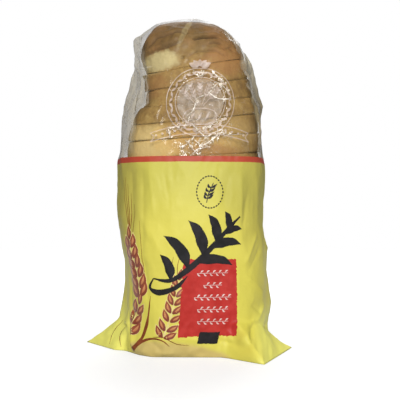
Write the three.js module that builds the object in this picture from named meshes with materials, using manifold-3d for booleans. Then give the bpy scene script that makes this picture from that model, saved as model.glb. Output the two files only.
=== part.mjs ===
// A sliced loaf standing on end in a printed film bag, with the bag's mouth gathered behind the loaf's
// end and shut by a flat clip. Millimetres, +Z up, the printed front towards -Y.
// The bag is shut, so it is one solid out to its film. The clip is a plate that hugs the gathered neck.

import * as THREE from "three";
import { mergeVertices } from "three/addons/utils/BufferGeometryUtils.js";
import Module from "manifold-3d";

// Outline of the film on the floor, seen from above, going round from the right tip to the left and back.
// Each corner is x, y and the height at which the film above it is back against the body.
const FOOT = [
  [79.3, -10.4, 14],
  [57, 22, 14],
  [49, 42, 12],
  [-46, 42, 12],
  [-54, 28, 14],
  [-85, 11.2, 24],
  [-58, -20, 16],
  [-50, -22, 8],
  [-38, -37, 10],
  [-28, -44, 12],
  [24, -45, 14],
  [52, -67.8, 27],
];

// Widest reach of the film to the left and to the right at each height. It is straight between creases.
const LEFT_EDGE = [
  [24, 55.5],
  [44, 52.5],
  [66, 52],
  [80, 55],
  [110, 58],
  [144, 57],
  [157, 54.5],
  [182, 54],
  [205, 47.5],
  [224, 45],
  [241, 46.5],
];
const RIGHT_EDGE = [
  [9, 60],
  [20, 60],
  [33, 64],
  [61, 59.5],
  [78, 61],
  [90, 56.5],
  [125, 58.8],
  [180, 57],
  [187, 60],
  [192, 57],
  [217, 49.8],
  [227, 48.4],
  [241, 38.2],
];

// Half widths and half depths of the body, where the film lies on the loaf.
const BODY_LEFT = [[0, 50], [58, 49], [110, 56], [145, 54], [175, 49], [205, 42], [241, 40]];
const BODY_RIGHT = [[0, 55], [60, 57], [110, 56], [150, 57], [185, 54], [215, 47], [243, 38]];
const BODY_FRONT = [[0, 46], [40, 49], [100, 50], [160, 47.5], [205, 44], [240, 38]];
const BODY_BACK = [[0, 44], [40, 46], [100, 47], [160, 46], [205, 43], [240, 38]];
const SQUARENESS = 2.8; // exponent of the body's section: 2 is an ellipse, more is boxier
const SEAM_SPREAD = THREE.MathUtils.degToRad(17); // how far round the body the side seam's fin reaches
const SEAM_SHARPNESS = 1.5;

// Height of the film over the loaf's end, from left to right, and how far it drops to front and back.
const TOP_LINE = [[-46.5, 241], [-25, 254], [-8, 256], [3, 256.5], [15, 253], [34, 242.5], [38.2, 241]];
const FRONT_DROP = 21;
const DOME_ROUND = 3.4; // exponent of the fall from the top to the shoulder

// Rings of the body's mesh.
const SEGMENTS = 96;
const FOOT_LEVELS = [0, 4, 8, 12, 17, 22, 27, 34];
const BODY_LEVELS = 24;
const DOME_LEVELS = 10;

// Neck and tail: the film beyond the loaf, gathered behind it and turned down.
const NECK_RADIUS = 5;
const NECK_X = -4;
const NECK_PATH = [
  [26, 234],
  [37, 248],
  [48, 250],
  [55.5, 243],
  [56.5, 230],
];
const TAIL_LENGTH = 66;
const TAIL_TOP = 236;
const TAIL_Y = 56.5;
const TAIL_END_Y = 53;
const TAIL_TOP_WIDTH = 8;
const TAIL_END_WIDTH = 68;
const TAIL_THICKNESS = 1.8;
const TAIL_PLEATS = 5;
const TAIL_PLEAT_DEPTH = 3.2;

// Clip: a flat plate with a round hole for the neck and a slot that leads into it.
const CLIP_WIDTH = 22;
const CLIP_HEIGHT = 21;
const CLIP_THICKNESS = 1;
const CLIP_CORNER = 3;
const CLIP_ABOVE_NECK = 8.5;
const CLIP_SLOT_HALF = 2.2;
const CLIP_GAP = 0.35;
const CLIP_ALONG_NECK = 0.47;

const FILM_PRINT = 0xe3dc5e;
const CLIP_PLASTIC = 0xe9e4d6;

// Value of a table of [height, value] pairs at a height, straight between the pairs.
function along(table, at) {
  if (at <= table[0][0]) return table[0][1];
  for (let i = 1; i < table.length; i++) {
    const [z0, v0] = table[i - 1];
    const [z1, v1] = table[i];
    if (at <= z1) return THREE.MathUtils.lerp(v0, v1, (at - z0) / (z1 - z0));
  }
  return table[table.length - 1][1];
}

// The same, eased between the pairs.
function eased(table, at) {
  for (let i = 1; i < table.length; i++) {
    const [z0, v0] = table[i - 1];
    const [z1, v1] = table[i];
    if (at <= z1) return THREE.MathUtils.lerp(v0, v1, THREE.MathUtils.smoothstep(at, z0, z1));
  }
  return table[table.length - 1][1];
}

// Where the ray at an angle leaves the foot's outline: its distance and the height of the slope above.
function footAt(angle) {
  const ray = new THREE.Vector2(Math.cos(angle), Math.sin(angle));
  for (let i = 0; i < FOOT.length; i++) {
    const [x0, y0, rise0] = FOOT[i];
    const [x1, y1, rise1] = FOOT[(i + 1) % FOOT.length];
    const edge = new THREE.Vector2(x1 - x0, y1 - y0);
    const turn = ray.cross(edge);
    if (Math.abs(turn) < 1e-9) continue;
    const start = new THREE.Vector2(x0, y0);
    const reach = start.cross(edge) / turn;
    const share = start.cross(ray) / turn;
    if (reach > 0 && share >= -1e-9 && share <= 1 + 1e-9) {
      return { reach, rise: THREE.MathUtils.lerp(rise0, rise1, share) };
    }
  }
  throw new Error("the foot's outline has a gap");
}

// Distance from the loaf's axis to the film at an angle and a height, above the foot's slope.
function bodyRadius(angle, height) {
  const [c, s] = [Math.cos(angle), Math.sin(angle)];
  const halfWidth = eased(c < 0 ? BODY_LEFT : BODY_RIGHT, height);
  const halfDepth = eased(s < 0 ? BODY_FRONT : BODY_BACK, height);
  const section =
    (Math.abs(c / halfWidth) ** SQUARENESS + Math.abs(s / halfDepth) ** SQUARENESS) ** (-1 / SQUARENESS);
  const reach = along(c < 0 ? LEFT_EDGE : RIGHT_EDGE, height);
  const fromSeam = Math.asin(Math.min(1, Math.abs(s)));
  const fin = Math.max(0, 1 - fromSeam / SEAM_SPREAD) ** SEAM_SHARPNESS;
  return section + (reach - halfWidth) * fin;
}

// Distance to the film with the foot's slope included.
function filmRadius(angle, height) {
  const { reach, rise } = footAt(angle);
  if (height >= rise) return bodyRadius(angle, height);
  return THREE.MathUtils.lerp(reach, bodyRadius(angle, rise), height / rise);
}

// Height at which the side wall turns into the dome over the loaf's end.
function shoulderHeight(angle) {
  const x = bodyRadius(angle, BODY_FRONT[BODY_FRONT.length - 1][0]) * Math.cos(angle);
  return along(TOP_LINE, x) - FRONT_DROP * Math.abs(Math.sin(angle)) ** 1.5;
}

// One ring of the lathe: its share of the film's radius and its level. Levels up to 1 are in the side wall,
// as a share of the shoulder's height, and the rest are in the dome.
function latheProfile() {
  const topFoot = FOOT_LEVELS[FOOT_LEVELS.length - 1];
  const shoulder = TOP_LINE[0][1];
  const profile = [new THREE.Vector2(0, 0)];
  for (const level of FOOT_LEVELS) profile.push(new THREE.Vector2(1, level / shoulder));
  for (let i = 1; i <= BODY_LEVELS; i++) {
    const level = THREE.MathUtils.lerp(topFoot, shoulder, i / BODY_LEVELS);
    profile.push(new THREE.Vector2(1, level / shoulder));
  }
  for (let i = 1; i <= DOME_LEVELS; i++) {
    const share = Math.cos((i / DOME_LEVELS) * (Math.PI / 2));
    profile.push(new THREE.Vector2(i === DOME_LEVELS ? 0 : share, 1 + i / DOME_LEVELS));
  }
  return profile;
}

// Moves one point of the round lathe to its place on the film.
function shapeFilm(point) {
  const share = Math.hypot(point.x, point.y);
  const angle = Math.atan2(point.y, point.x);
  const wall = Math.min(point.z, 1);
  const shoulder = shoulderHeight(angle);
  const radius = share * filmRadius(angle, wall * shoulder);
  point.set(radius * Math.cos(angle), radius * Math.sin(angle), wall * shoulder);
  if (wall === 1) {
    const edgeX = filmRadius(angle, shoulder) * Math.cos(angle);
    const drop = along(TOP_LINE, edgeX) - shoulder;
    point.z = along(TOP_LINE, point.x) - drop * share ** DOME_ROUND;
  }
  return point;
}

// Applies a function to every vertex of a geometry that has only positions, with shared vertices.
function reshape(geometry, move) {
  const bare = geometry.clone();
  bare.deleteAttribute("normal");
  bare.deleteAttribute("uv");
  const merged = mergeVertices(bare, 1e-5);
  const position = merged.getAttribute("position");
  const point = new THREE.Vector3();
  for (let i = 0; i < position.count; i++) {
    move(point.fromBufferAttribute(position, i));
    position.setXYZ(i, point.x, point.y, point.z);
  }
  return merged;
}

function bodyGeometry() {
  const lathe = new THREE.LatheGeometry(latheProfile(), SEGMENTS);
  lathe.rotateX(Math.PI / 2);
  return reshape(lathe, shapeFilm);
}

const neckCurve = new THREE.CatmullRomCurve3(NECK_PATH.map(([y, z]) => new THREE.Vector3(NECK_X, y, z)));

function neckGeometry() {
  const section = new THREE.Shape().absarc(0, 0, NECK_RADIUS, 0, Math.PI * 2);
  const options = { steps: 14, curveSegments: 8, extrudePath: neckCurve, bevelEnabled: false };
  return reshape(new THREE.ExtrudeGeometry(section, options), (point) => point);
}

// The tail is a flat fan of pleated film that hangs from the neck's end down the bag's back.
function tailGeometry() {
  const sheet = new THREE.BoxGeometry(1, TAIL_THICKNESS, 1, 30, 1, 9);
  return reshape(sheet, (point) => {
    const down = 0.5 - point.z;
    const across = point.x;
    const halfSpread = THREE.MathUtils.lerp(TAIL_TOP_WIDTH, TAIL_END_WIDTH, down ** 0.8) / 2;
    const pleat = Math.sin(across * Math.PI * 2 * TAIL_PLEATS) * TAIL_PLEAT_DEPTH * (0.35 + 0.65 * down);
    const hem = 4 * Math.cos(across * Math.PI) * down;
    point.set(
      NECK_X + across * 2 * halfSpread,
      point.y + pleat + THREE.MathUtils.lerp(TAIL_Y, TAIL_END_Y, down),
      TAIL_TOP - down * TAIL_LENGTH - hem,
    );
  });
}

function clipGeometry() {
  const [half, top] = [CLIP_WIDTH / 2, CLIP_ABOVE_NECK];
  const bottom = top - CLIP_HEIGHT;
  const hole = NECK_RADIUS + CLIP_GAP;
  const mouth = Math.asin(CLIP_SLOT_HALF / hole);
  const plate = new THREE.Shape();
  plate.moveTo(-half + CLIP_CORNER, bottom);
  plate.lineTo(half - CLIP_CORNER, bottom);
  plate.quadraticCurveTo(half, bottom, half, bottom + CLIP_CORNER);
  plate.lineTo(half, top - CLIP_CORNER);
  plate.quadraticCurveTo(half, top, half - CLIP_CORNER, top);
  plate.lineTo(CLIP_SLOT_HALF, top);
  plate.absarc(0, 0, hole, Math.PI / 2 - mouth, Math.PI / 2 + mouth, true);
  plate.lineTo(-CLIP_SLOT_HALF, top);
  plate.lineTo(-half + CLIP_CORNER, top);
  plate.quadraticCurveTo(-half, top, -half, top - CLIP_CORNER);
  plate.lineTo(-half, bottom + CLIP_CORNER);
  plate.quadraticCurveTo(-half, bottom, -half + CLIP_CORNER, bottom);
  const options = { depth: CLIP_THICKNESS, curveSegments: 6, bevelEnabled: false };
  return new THREE.ExtrudeGeometry(plate, options).translate(0, 0, -CLIP_THICKNESS / 2);
}

const wasm = await Module();
wasm.setup();

function solidOf(geometry) {
  const vertProperties = new Float32Array(geometry.getAttribute("position").array);
  const triVerts = new Uint32Array(geometry.index.array);
  return new wasm.Manifold(new wasm.Mesh({ numProp: 3, vertProperties, triVerts }));
}

function geometryOf(solid) {
  const { vertProperties, triVerts } = solid.getMesh();
  const geometry = new THREE.BufferGeometry();
  geometry.setAttribute("position", new THREE.BufferAttribute(new Float32Array(vertProperties), 3));
  geometry.setIndex(new THREE.BufferAttribute(new Uint32Array(triVerts), 1));
  geometry.computeVertexNormals();
  return geometry;
}

const filmSolid = solidOf(bodyGeometry()).add(solidOf(neckGeometry())).add(solidOf(tailGeometry()));
const bag = new THREE.Mesh(
  geometryOf(filmSolid),
  new THREE.MeshStandardMaterial({ color: FILM_PRINT, roughness: 0.35, metalness: 0 }),
);
bag.name = "bag";

const clip = new THREE.Mesh(
  clipGeometry(),
  new THREE.MeshStandardMaterial({ color: CLIP_PLASTIC, roughness: 0.45, metalness: 0 }),
);
clip.name = "clip";
clip.position.copy(neckCurve.getPointAt(CLIP_ALONG_NECK));
const neckDirection = neckCurve.getTangentAt(CLIP_ALONG_NECK);
clip.rotation.x = Math.PI / 2 + Math.atan2(neckDirection.z, neckDirection.y);

// The origin is on the floor, under the middle of the whole.
const loafInBag = new THREE.Group();
loafInBag.add(bag, clip);
const box = new THREE.Box3().setFromObject(bag);
const middle = box.getCenter(new THREE.Vector3());
loafInBag.position.set(-middle.x, -middle.y, -box.min.z);

export default loafInBag;
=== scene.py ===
"""A sliced loaf standing on end in a printed film bag. Metres, +Z up, the printed front towards -Y."""

import math

import bmesh
import bpy
from mathutils import Matrix, Vector, noise
from mathutils.bvhtree import BVHTree
from mathutils.geometry import barycentric_transform


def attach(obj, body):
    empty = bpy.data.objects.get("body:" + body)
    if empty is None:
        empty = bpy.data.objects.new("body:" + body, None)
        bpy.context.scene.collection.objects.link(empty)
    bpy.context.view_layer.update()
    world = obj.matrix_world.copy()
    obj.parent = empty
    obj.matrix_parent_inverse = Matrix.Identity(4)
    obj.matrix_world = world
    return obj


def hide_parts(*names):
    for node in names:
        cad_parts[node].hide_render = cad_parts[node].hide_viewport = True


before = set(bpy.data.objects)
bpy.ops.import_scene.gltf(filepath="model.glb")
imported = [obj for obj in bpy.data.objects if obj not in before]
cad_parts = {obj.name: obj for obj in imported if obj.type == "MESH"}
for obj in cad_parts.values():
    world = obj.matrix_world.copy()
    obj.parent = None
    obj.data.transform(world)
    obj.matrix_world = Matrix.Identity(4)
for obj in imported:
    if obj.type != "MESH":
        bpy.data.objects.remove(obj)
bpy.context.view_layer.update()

# Camera
# It stands level, half a metre in front of the bag and a little under half way up it, as for the photo.

camera = bpy.data.objects.new("camera", bpy.data.cameras.new("camera"))
camera.data.lens = 62.4
camera.data.sensor_width = 36
camera.location = (0.0100, -0.5468, 0.115)
camera.rotation_euler = (math.pi / 2, 0, 0)
bpy.context.collection.objects.link(camera)
bpy.context.scene.camera = camera
bpy.context.scene.view_settings.view_transform = "Standard"

# Floor and light
# A round white table that is greyer round the bag and glows towards its edge, in a white room. Large soft
# lights stand in front, a weaker one on the right and one behind, and a small one gives the film its
# glints. None of it belongs to the loaf.


class Wire:
    """A node's output socket. Python's operators on it add Math nodes to its material."""

    def __init__(self, tree, socket=None):
        self.tree = tree
        self.socket = socket

    def node(self, kind, settings=None, inputs=None, out=0):
        """Adds a node, sets it up, fills or links its inputs, and returns one of its outputs."""
        made = self.tree.nodes.new(kind)
        for name, value in (settings or {}).items():
            if name == "stops":
                ramp = made.color_ramp.elements
                while len(ramp) < len(value):
                    ramp.new(0.5)
                for stop, (position, colour) in zip(ramp, value):
                    stop.position = position
                    stop.color = (*colour, 1)
            else:
                setattr(made, name, value)
        for name, value in (inputs or {}).items():
            if isinstance(value, Wire):
                self.tree.links.new(value.socket, made.inputs[name])
            else:
                made.inputs[name].default_value = value
        return Wire(self.tree, made.outputs[out])

    def math(self, operation, *values):
        return self.node("ShaderNodeMath", {"operation": operation}, dict(enumerate(values)))

    def __add__(self, other):
        return self.math("ADD", self, other)

    def __radd__(self, other):
        return self.math("ADD", other, self)

    def __sub__(self, other):
        return self.math("SUBTRACT", self, other)

    def __rsub__(self, other):
        return self.math("SUBTRACT", other, self)

    def __mul__(self, other):
        return self.math("MULTIPLY", self, other)

    def __truediv__(self, other):
        return self.math("DIVIDE", self, other)

    def __abs__(self):
        return self.math("ABSOLUTE", self)

    def lowest(self, other):
        return self.math("MINIMUM", self, other)

    def highest(self, other):
        return self.math("MAXIMUM", self, other)

    def step(self, start, end):
        """0 up to start and 1 from end on, or the other way round if start is the higher one."""
        if start > end:
            return 1 - self.step(end, start)
        return self.node(
            "ShaderNodeMapRange",
            {"interpolation_type": "SMOOTHSTEP"},
            {"Value": self, "From Min": start, "From Max": end},
        )

    def blend(self, first, second):
        """The first colour where this is 0 and the second where it is 1."""
        first, second = (c if isinstance(c, Wire) else (*c, 1) for c in (first, second))
        return self.node("ShaderNodeMix", {"data_type": "RGBA"}, {0: self, 6: first, 7: second}, out=2)


def new_material(name, uv_map=None):
    """A material, its one Principled shader, and the place on the piece: a UV map's, or else the object's."""
    material = bpy.data.materials.new(name)
    material.use_nodes = True
    start = Wire(material.node_tree)
    if uv_map:
        place = start.node("ShaderNodeUVMap", {"uv_map": uv_map})
    else:
        place = start.node("ShaderNodeTexCoord", out="Object")
    return material, material.node_tree.nodes["Principled BSDF"], place


def connect(shader, **inputs):
    """Sets or links the shader's sockets. An underscore in a name stands for a space."""
    for name, value in inputs.items():
        socket = shader.inputs[name.replace("_", " ")]
        if isinstance(value, Wire):
            value.tree.links.new(value.socket, socket)
        else:
            socket.default_value = value


def noise_map(place, scale, detail=2, out=0, **inputs):
    """Soft noise at a place. Output 0 is its height and output 1 is a colour."""
    inputs |= {"Vector": place, "Scale": scale, "Detail": detail}
    return place.node("ShaderNodeTexNoise", None, inputs, out)


def piece(name, mesh, materials):
    """A finished mesh as an object."""
    data = bpy.data.meshes.new(name)
    mesh.to_mesh(data)
    mesh.free()
    for material in materials:
        data.materials.append(material)
    made = bpy.data.objects.new(name, data)
    bpy.context.collection.objects.link(made)
    return made


def table_white():
    material, shader, place = new_material("white table")
    away = place.node("ShaderNodeVectorMath", {"operation": "LENGTH"}, {0: place}, out="Value")
    tone = noise_map(place, 2).blend((0.40, 0.40, 0.40), (0.42, 0.42, 0.42))
    glow = away.step(0.08, 0.34).blend((0.66, 0.66, 0.66), (1.0, 1.0, 1.0))
    connect(shader, Base_Color=tone, Roughness=0.9, Emission_Color=glow, Emission_Strength=1)
    return material


table_mesh = bmesh.new()
bmesh.ops.create_circle(table_mesh, cap_ends=True, segments=96, radius=1.1)
table = piece("table", table_mesh, [table_white()])
table.visible_diffuse = False


# For each light its name, where it stands, where it points, its width and height, and its power in watts.
LIGHTS = [
    ("key light", (-0.02, -1.35, 0.68), (0, 0, 0.12), (0.45, 0.45), 14.5),
    ("front light", (0.05, -1.35, 0.35), (0, 0, 0.12), (0.5, 0.3), 4),
    ("side light", (1.20, -0.50, 0.30), (0, 0, 0.05), (0.4, 0.4), 1.0),
    ("back light", (0.10, 1.05, 1.30), (0, 0, 0.12), (0.9, 0.6), 14),
    ("glint light", (0.16, -0.90, 0.46), (0, 0, 0.17), (0.05, 0.05), 0.35),
]
for name, place, target, size, power in LIGHTS:
    light = bpy.data.objects.new(name, bpy.data.lights.new(name, "AREA"))
    light.data.shape = "RECTANGLE"
    light.data.size, light.data.size_y = size
    light.data.energy = power
    light.location = place
    light.rotation_euler = (Vector(target) - Vector(place)).to_track_quat("-Z", "Y").to_euler()
    bpy.context.collection.objects.link(light)

ROOM_TO_LOAF = 0.16  # how bright the room is for all but the camera, which sees it white
room = bpy.data.worlds.new("room")
room.use_nodes = True
bpy.context.scene.world = room
to_camera = Wire(room.node_tree).node("ShaderNodeLightPath", out="Is Camera Ray")
sky = room.node_tree.nodes["Background"]
sky.inputs["Color"].default_value = (1, 1, 1, 1)
brightness = to_camera * (1 - ROOM_TO_LOAF) + ROOM_TO_LOAF
room.node_tree.links.new(brightness.socket, sky.inputs["Strength"])

# Loaf
# White bread baked without a tin, cut across into slices of 13 mm that stay in order, one on another.
# The crust is golden, and browner on the rounded end, which lies on top with a tear in its crust.

LOAF_AXIS = Vector((0.0029, 0.0032, 0))
LOAF_LOW = 0.0015
SLICES = 16
HEEL_CUT = 0.2189  # height of the rounded end's cut face, on the axis
LOAF_TOP = 0.2545
# Height, then how far the loaf reaches to the left and to the right of its axis.
LOAF_SIDES = [
    (0.0, 0.030, 0.034),
    (0.008, 0.043, 0.046),
    (0.020, 0.047, 0.050),
    (0.060, 0.048, 0.053),
    (0.110, 0.0525, 0.054),
    (0.157, 0.0503, 0.0535),
    (0.171, 0.0475, 0.053),
    (0.184, 0.0440, 0.053),
    (0.190, 0.0405, 0.0490),
    (0.1945, 0.0360, 0.0470),
    (0.2075, 0.0354, 0.0452),
    (0.2165, 0.0356, 0.0440),
    (0.2189, 0.0380, 0.0425),
]
# Height, then how far it reaches to the front and to the back.
LOAF_DEPTH = [
    (0.0, 0.030),
    (0.010, 0.040),
    (0.03, 0.0435),
    (0.10, 0.0455),
    (0.16, 0.0445),
    (0.2165, 0.0405),
]
LOAF_SQUARENESS = 2.5  # exponent of its section: 2 is an ellipse, and more is boxier
SLICE_GAP = 0.00004  # on each side of a cut
SLICE_ROUNDING = 0.00045
# Tears in the rounded end's crust: points across and up, how deep, and how far the crust above stands out.
TEARS = [
    (((0.0010, 0.2352), (0.0100, 0.2366), (0.0234, 0.2366)), 0.0034, 0.0014),
    (((-0.0370, 0.2245), (-0.0250, 0.2280), (-0.0130, 0.2300), (-0.0050, 0.2330)), 0.0014, 0.0012),
    (((-0.0062, 0.2190), (-0.0055, 0.2222)), 0.0026, 0.0),
    (((0.0129, 0.2308), (0.0190, 0.2324), (0.0240, 0.2322)), 0.0011, 0.0006),
    (((-0.0349, 0.2274), (-0.0263, 0.2379), (-0.0101, 0.2404), (-0.0002, 0.2392)), 0.0016, 0.0006),
    (((-0.0030, 0.2440), (-0.0040, 0.2392), (-0.0085, 0.2299)), 0.0012, 0.0008),
    (((-0.0051, 0.2193), (0.0048, 0.2249), (0.0185, 0.2255), (0.0284, 0.2205)), 0.0009, 0.0006),
    (((0.0230, 0.2270), (0.0300, 0.2290), (0.0365, 0.2250)), 0.0008, 0.0004),
]


def mix(a, b, share):
    return a + (b - a) * share


def smooth(share):
    share = min(1, max(0, share))
    return share * share * (3 - 2 * share)


def along(table, at):
    """The row of a table of heights at one height."""
    if at <= table[0][0]:
        return table[0][1:]
    for low, high in zip(table, table[1:]):
        if at <= high[0]:
            share = (at - low[0]) / (high[0] - low[0])
            return [mix(a, b, share) for a, b in zip(low[1:], high[1:])]
    return table[-1][1:]


def loaf_reach(angle, height):
    """Distance from the loaf's axis to its crust."""
    left, right = along(LOAF_SIDES, height)
    depth = along(LOAF_DEPTH, height)[0]
    c, s = math.cos(angle), math.sin(angle)
    width = left if c < 0 else right
    n = LOAF_SQUARENESS
    return (abs(c / width) ** n + abs(s / depth) ** n) ** (-1 / n)


def from_line(point, start, end):
    """Distance of a point from a line's stretch, and how far along it the point is, from 0 to 1."""
    course = (end[0] - start[0], end[1] - start[1])
    away = (point[0] - start[0], point[1] - start[1])
    length = course[0] ** 2 + course[1] ** 2
    t = min(1, max(0, (away[0] * course[0] + away[1] * course[1]) / length))
    return math.hypot(away[0] - t * course[0], away[1] - t * course[1]), t


# Colours of the crust, where it is darker and where it is lighter.
CRUST_TONES = {
    "pale": ((0.56, 0.44, 0.18), (0.78, 0.66, 0.34)),
    "bright": ((0.56, 0.36, 0.11), (0.80, 0.57, 0.22)),
    "soft": ((0.69, 0.475, 0.160), (0.87, 0.66, 0.280)),
    "brown": ((0.090, 0.044, 0.010), (0.205, 0.109, 0.026)),
    "toasted": ((0.30, 0.125, 0.030), (0.48, 0.23, 0.070)),
    "amber": ((0.60, 0.34, 0.070), (0.86, 0.54, 0.150)),
}
GOLDEN = [
    (0.34, (0.17, 0.085, 0.020)),
    (0.46, (0.31, 0.175, 0.042)),
    (0.56, (0.43, 0.265, 0.070)),
    (0.68, (0.56, 0.39, 0.130)),
]
# Oval fields of colour on the front: the middle across and up, half the width and half the height, the
# slope, the strength and the colour.
CRUST_FIELDS = [
    (-0.034, 0.155, 0.030, 0.017, 0, 0.95, "soft"),
    (0.006, 0.1620, 0.024, 0.0120, 0, 0.5, "toasted"),
    (0.006, 0.1580, 0.034, 0.0150, 0, 0.5, "amber"),
    (0.028, 0.166, 0.026, 0.012, 0, 0.35, "bright"),
    (0.030, 0.2180, 0.017, 0.0110, 0, 0.8, "toasted"),
    (0.022, 0.1500, 0.024, 0.0060, 0, 0.6, "toasted"),
    (-0.026, 0.2000, 0.014, 0.0100, 0, 0.4, "toasted"),
    (-0.024, 0.2170, 0.020, 0.0078, 0.12, 0.95, "pale"),
    (-0.022, 0.2360, 0.017, 0.0055, 0.4, 0.55, "brown"),
    (-0.020, 0.2440, 0.018, 0.0050, 0.3, 0.5, "brown"),
    (-0.0015, 0.2400, 0.0060, 0.0055, 2.2, 0.3, "pale"),
]


def axes_of(place):
    """The coordinates of a place, each as a wire."""
    parts = place.node("ShaderNodeSeparateXYZ", None, {"Vector": place}).socket.node
    return [Wire(place.tree, socket) for socket in parts.outputs]


def bumps(height, strength, distance=0.001):
    return height.node("ShaderNodeBump", None, {"Strength": strength, "Distance": distance, "Height": height})


def cells(place, scale, feature="F1"):
    """Distance from the middles of cells that lie at random, or from their edges."""
    return place.node("ShaderNodeTexVoronoi", {"feature": feature}, {"Vector": place, "Scale": scale})


def carried(place, name):
    """A value that the mesh carries at its vertices."""
    return place.node("ShaderNodeAttribute", {"attribute_name": name}, out="Fac")


def oval(u, v, middle, half):
    """0 in the middle of an oval, 1 on its edge and more outside it."""
    u, v = (u - middle[0]) / half[0], (v - middle[1]) / half[1]
    return u * u + v * v


def crust():
    material, shader, place = new_material("crust")
    x, y, z = axes_of(place)
    broad = noise_map(place, 55, 4)
    frayed = noise_map(place, 190, 5, Roughness=0.6)
    fine = noise_map(place, 420, 4, Roughness=0.65)
    spread = noise_map(place, 24, 5, Roughness=0.6)
    mixed = broad * 0.45 + frayed * 0.30 + fine * 0.25
    tones = {name: mixed.blend(dark, light) for name, (dark, light) in CRUST_TONES.items()}
    golden = mixed.node("ShaderNodeValToRGB", {"stops": GOLDEN}, {"Fac": mixed})
    baked = z.step(0.213, 0.234) * 0.72 + z.step(0.234, 0.246) * 0.20  # browner towards the rounded end
    tone = baked.blend(golden, tones["brown"])
    tone = (spread.step(0.50, 0.66) * 0.45).blend(tone, tones["toasted"])
    tone = (spread.step(0.48, 0.34) * 0.40).blend(tone, tones["brown"])
    for middle_x, middle_z, half_x, half_z, slope, strength, name in CRUST_FIELDS:
        level = z - (x - middle_x) * slope
        away = oval(x, level, (middle_x, middle_z), (half_x, half_z))
        away = away + (broad - 0.5) * 1.8 + (frayed - 0.5) * 1.6
        tone = (away.step(1.35, 0.25) * y.step(0.012, -0.012) * strength).blend(tone, tones[name])
    # Painted shade: dark lines in the tears of the rounded end's crust, where shadow would fall.
    tone = (carried(place, "torn") * (0.6 + frayed * 0.8)).lowest(1.0).blend(tone, (0.055, 0.024, 0.008))
    connect(shader, Base_Color=tone, Roughness=0.72, Normal=bumps(fine, 0.5))
    return material


def crumb():
    material, shader, place = new_material("crumb")
    pores = cells(place, 420)
    tone = pores.blend((0.60, 0.48, 0.30), (0.83, 0.75, 0.58))
    connect(shader, Base_Color=tone, Roughness=0.85, Normal=bumps(pores, 0.6))
    return material


crust_material, crumb_material = crust(), crumb()


def cut_height(number, x, y):
    """Height of the cut below a slice. The loaf leans, and its cuts with it, more so towards the top."""
    share = number / SLICES
    level = mix(LOAF_LOW, HEEL_CUT, share)
    if number == 0:
        return level
    lean = 0.16 * share**3 + 0.008 * math.sin(number * 2.1)
    tip = 0.15 * share**1.5 + 0.010 * math.cos(number * 1.3)
    wave = noise.noise(Vector((x * 30, y * 30, number * 5.7))) * 0.0006
    return level + lean * x + tip * y + wave


def ribbed_cylinder(segments, cuts):
    """A cylinder one high and two wide, with rings of vertices between its ends."""
    made = bmesh.new()
    bmesh.ops.create_cone(made, cap_ends=True, segments=segments, radius1=1, radius2=1, depth=1)
    uprights = [edge for edge in made.edges if abs(edge.verts[0].co.z - edge.verts[1].co.z) > 0.5]
    bmesh.ops.subdivide_edges(made, edges=uprights, cuts=cuts, use_grid_fill=True)
    return made


def bearing(angle):
    """The level direction at an angle from +X, which is to the right."""
    return Vector((math.cos(angle), math.sin(angle), 0))


def slice_mesh(number, shift):
    """One slice: a thick plate of the loaf's section, softened at its cut edges, a little out of line."""
    plate = ribbed_cylinder(96, 5)
    for vertex in plate.verts:
        angle = math.atan2(vertex.co.y, vertex.co.x)
        level = vertex.co.z + 0.5
        level = 0.5 + 0.5 * math.copysign(abs(2 * level - 1) ** 0.6, level - 0.5)
        flat = loaf_reach(angle, mix(LOAF_LOW, HEEL_CUT, (number + level) / SLICES))
        out = bearing(angle)
        edge = abs(2 * level - 1)
        rough = noise.noise(out * 2.2 + Vector((0, 0, number * 1.9))) * 0.0010
        rough += noise.noise(out * 14 + Vector((0, 0, number + level))) * 0.0004
        radius = flat + rough - SLICE_ROUNDING * edge**6
        x, y = radius * out.x, radius * out.y
        low = cut_height(number, x, y) + SLICE_GAP
        high = cut_height(number + 1, x, y) - SLICE_GAP
        vertex.co = Vector((x, y, mix(low, high, level))) + LOAF_AXIS + shift
    for face in plate.faces:
        face.material_index = int(len(face.verts) > 8)
        face.smooth = len(face.verts) <= 8
    return plate


def tear_swell(point):
    """How far the crust stands out at a point of the rounded end's front, and how much painted shade its
    tears get there.
    """
    swell, torn = 0, 0
    for line, depth, lip in TEARS:
        nearest, above, along_line = 1, 0, 0
        for i, (start, end) in enumerate(zip(line, line[1:])):
            away, t = from_line((point.x, point.z), start, end)
            if away < nearest:
                nearest, along_line = away, (i + t) / (len(line) - 1)
                above = point.z - mix(start[1], end[1], t)
        ends = smooth(1 - abs(2 * along_line - 1) ** 4)
        swell -= depth * math.exp(-((nearest / 0.0010) ** 2)) * ends
        torn = max(torn, math.exp(-((nearest / 0.0006) ** 2)) * ends * min(1, depth / 0.0030))
        if nearest < 0.008:
            swell += lip * math.exp(-(((above - 0.0020) / 0.0024) ** 2)) * ends
    return swell, torn


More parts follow.
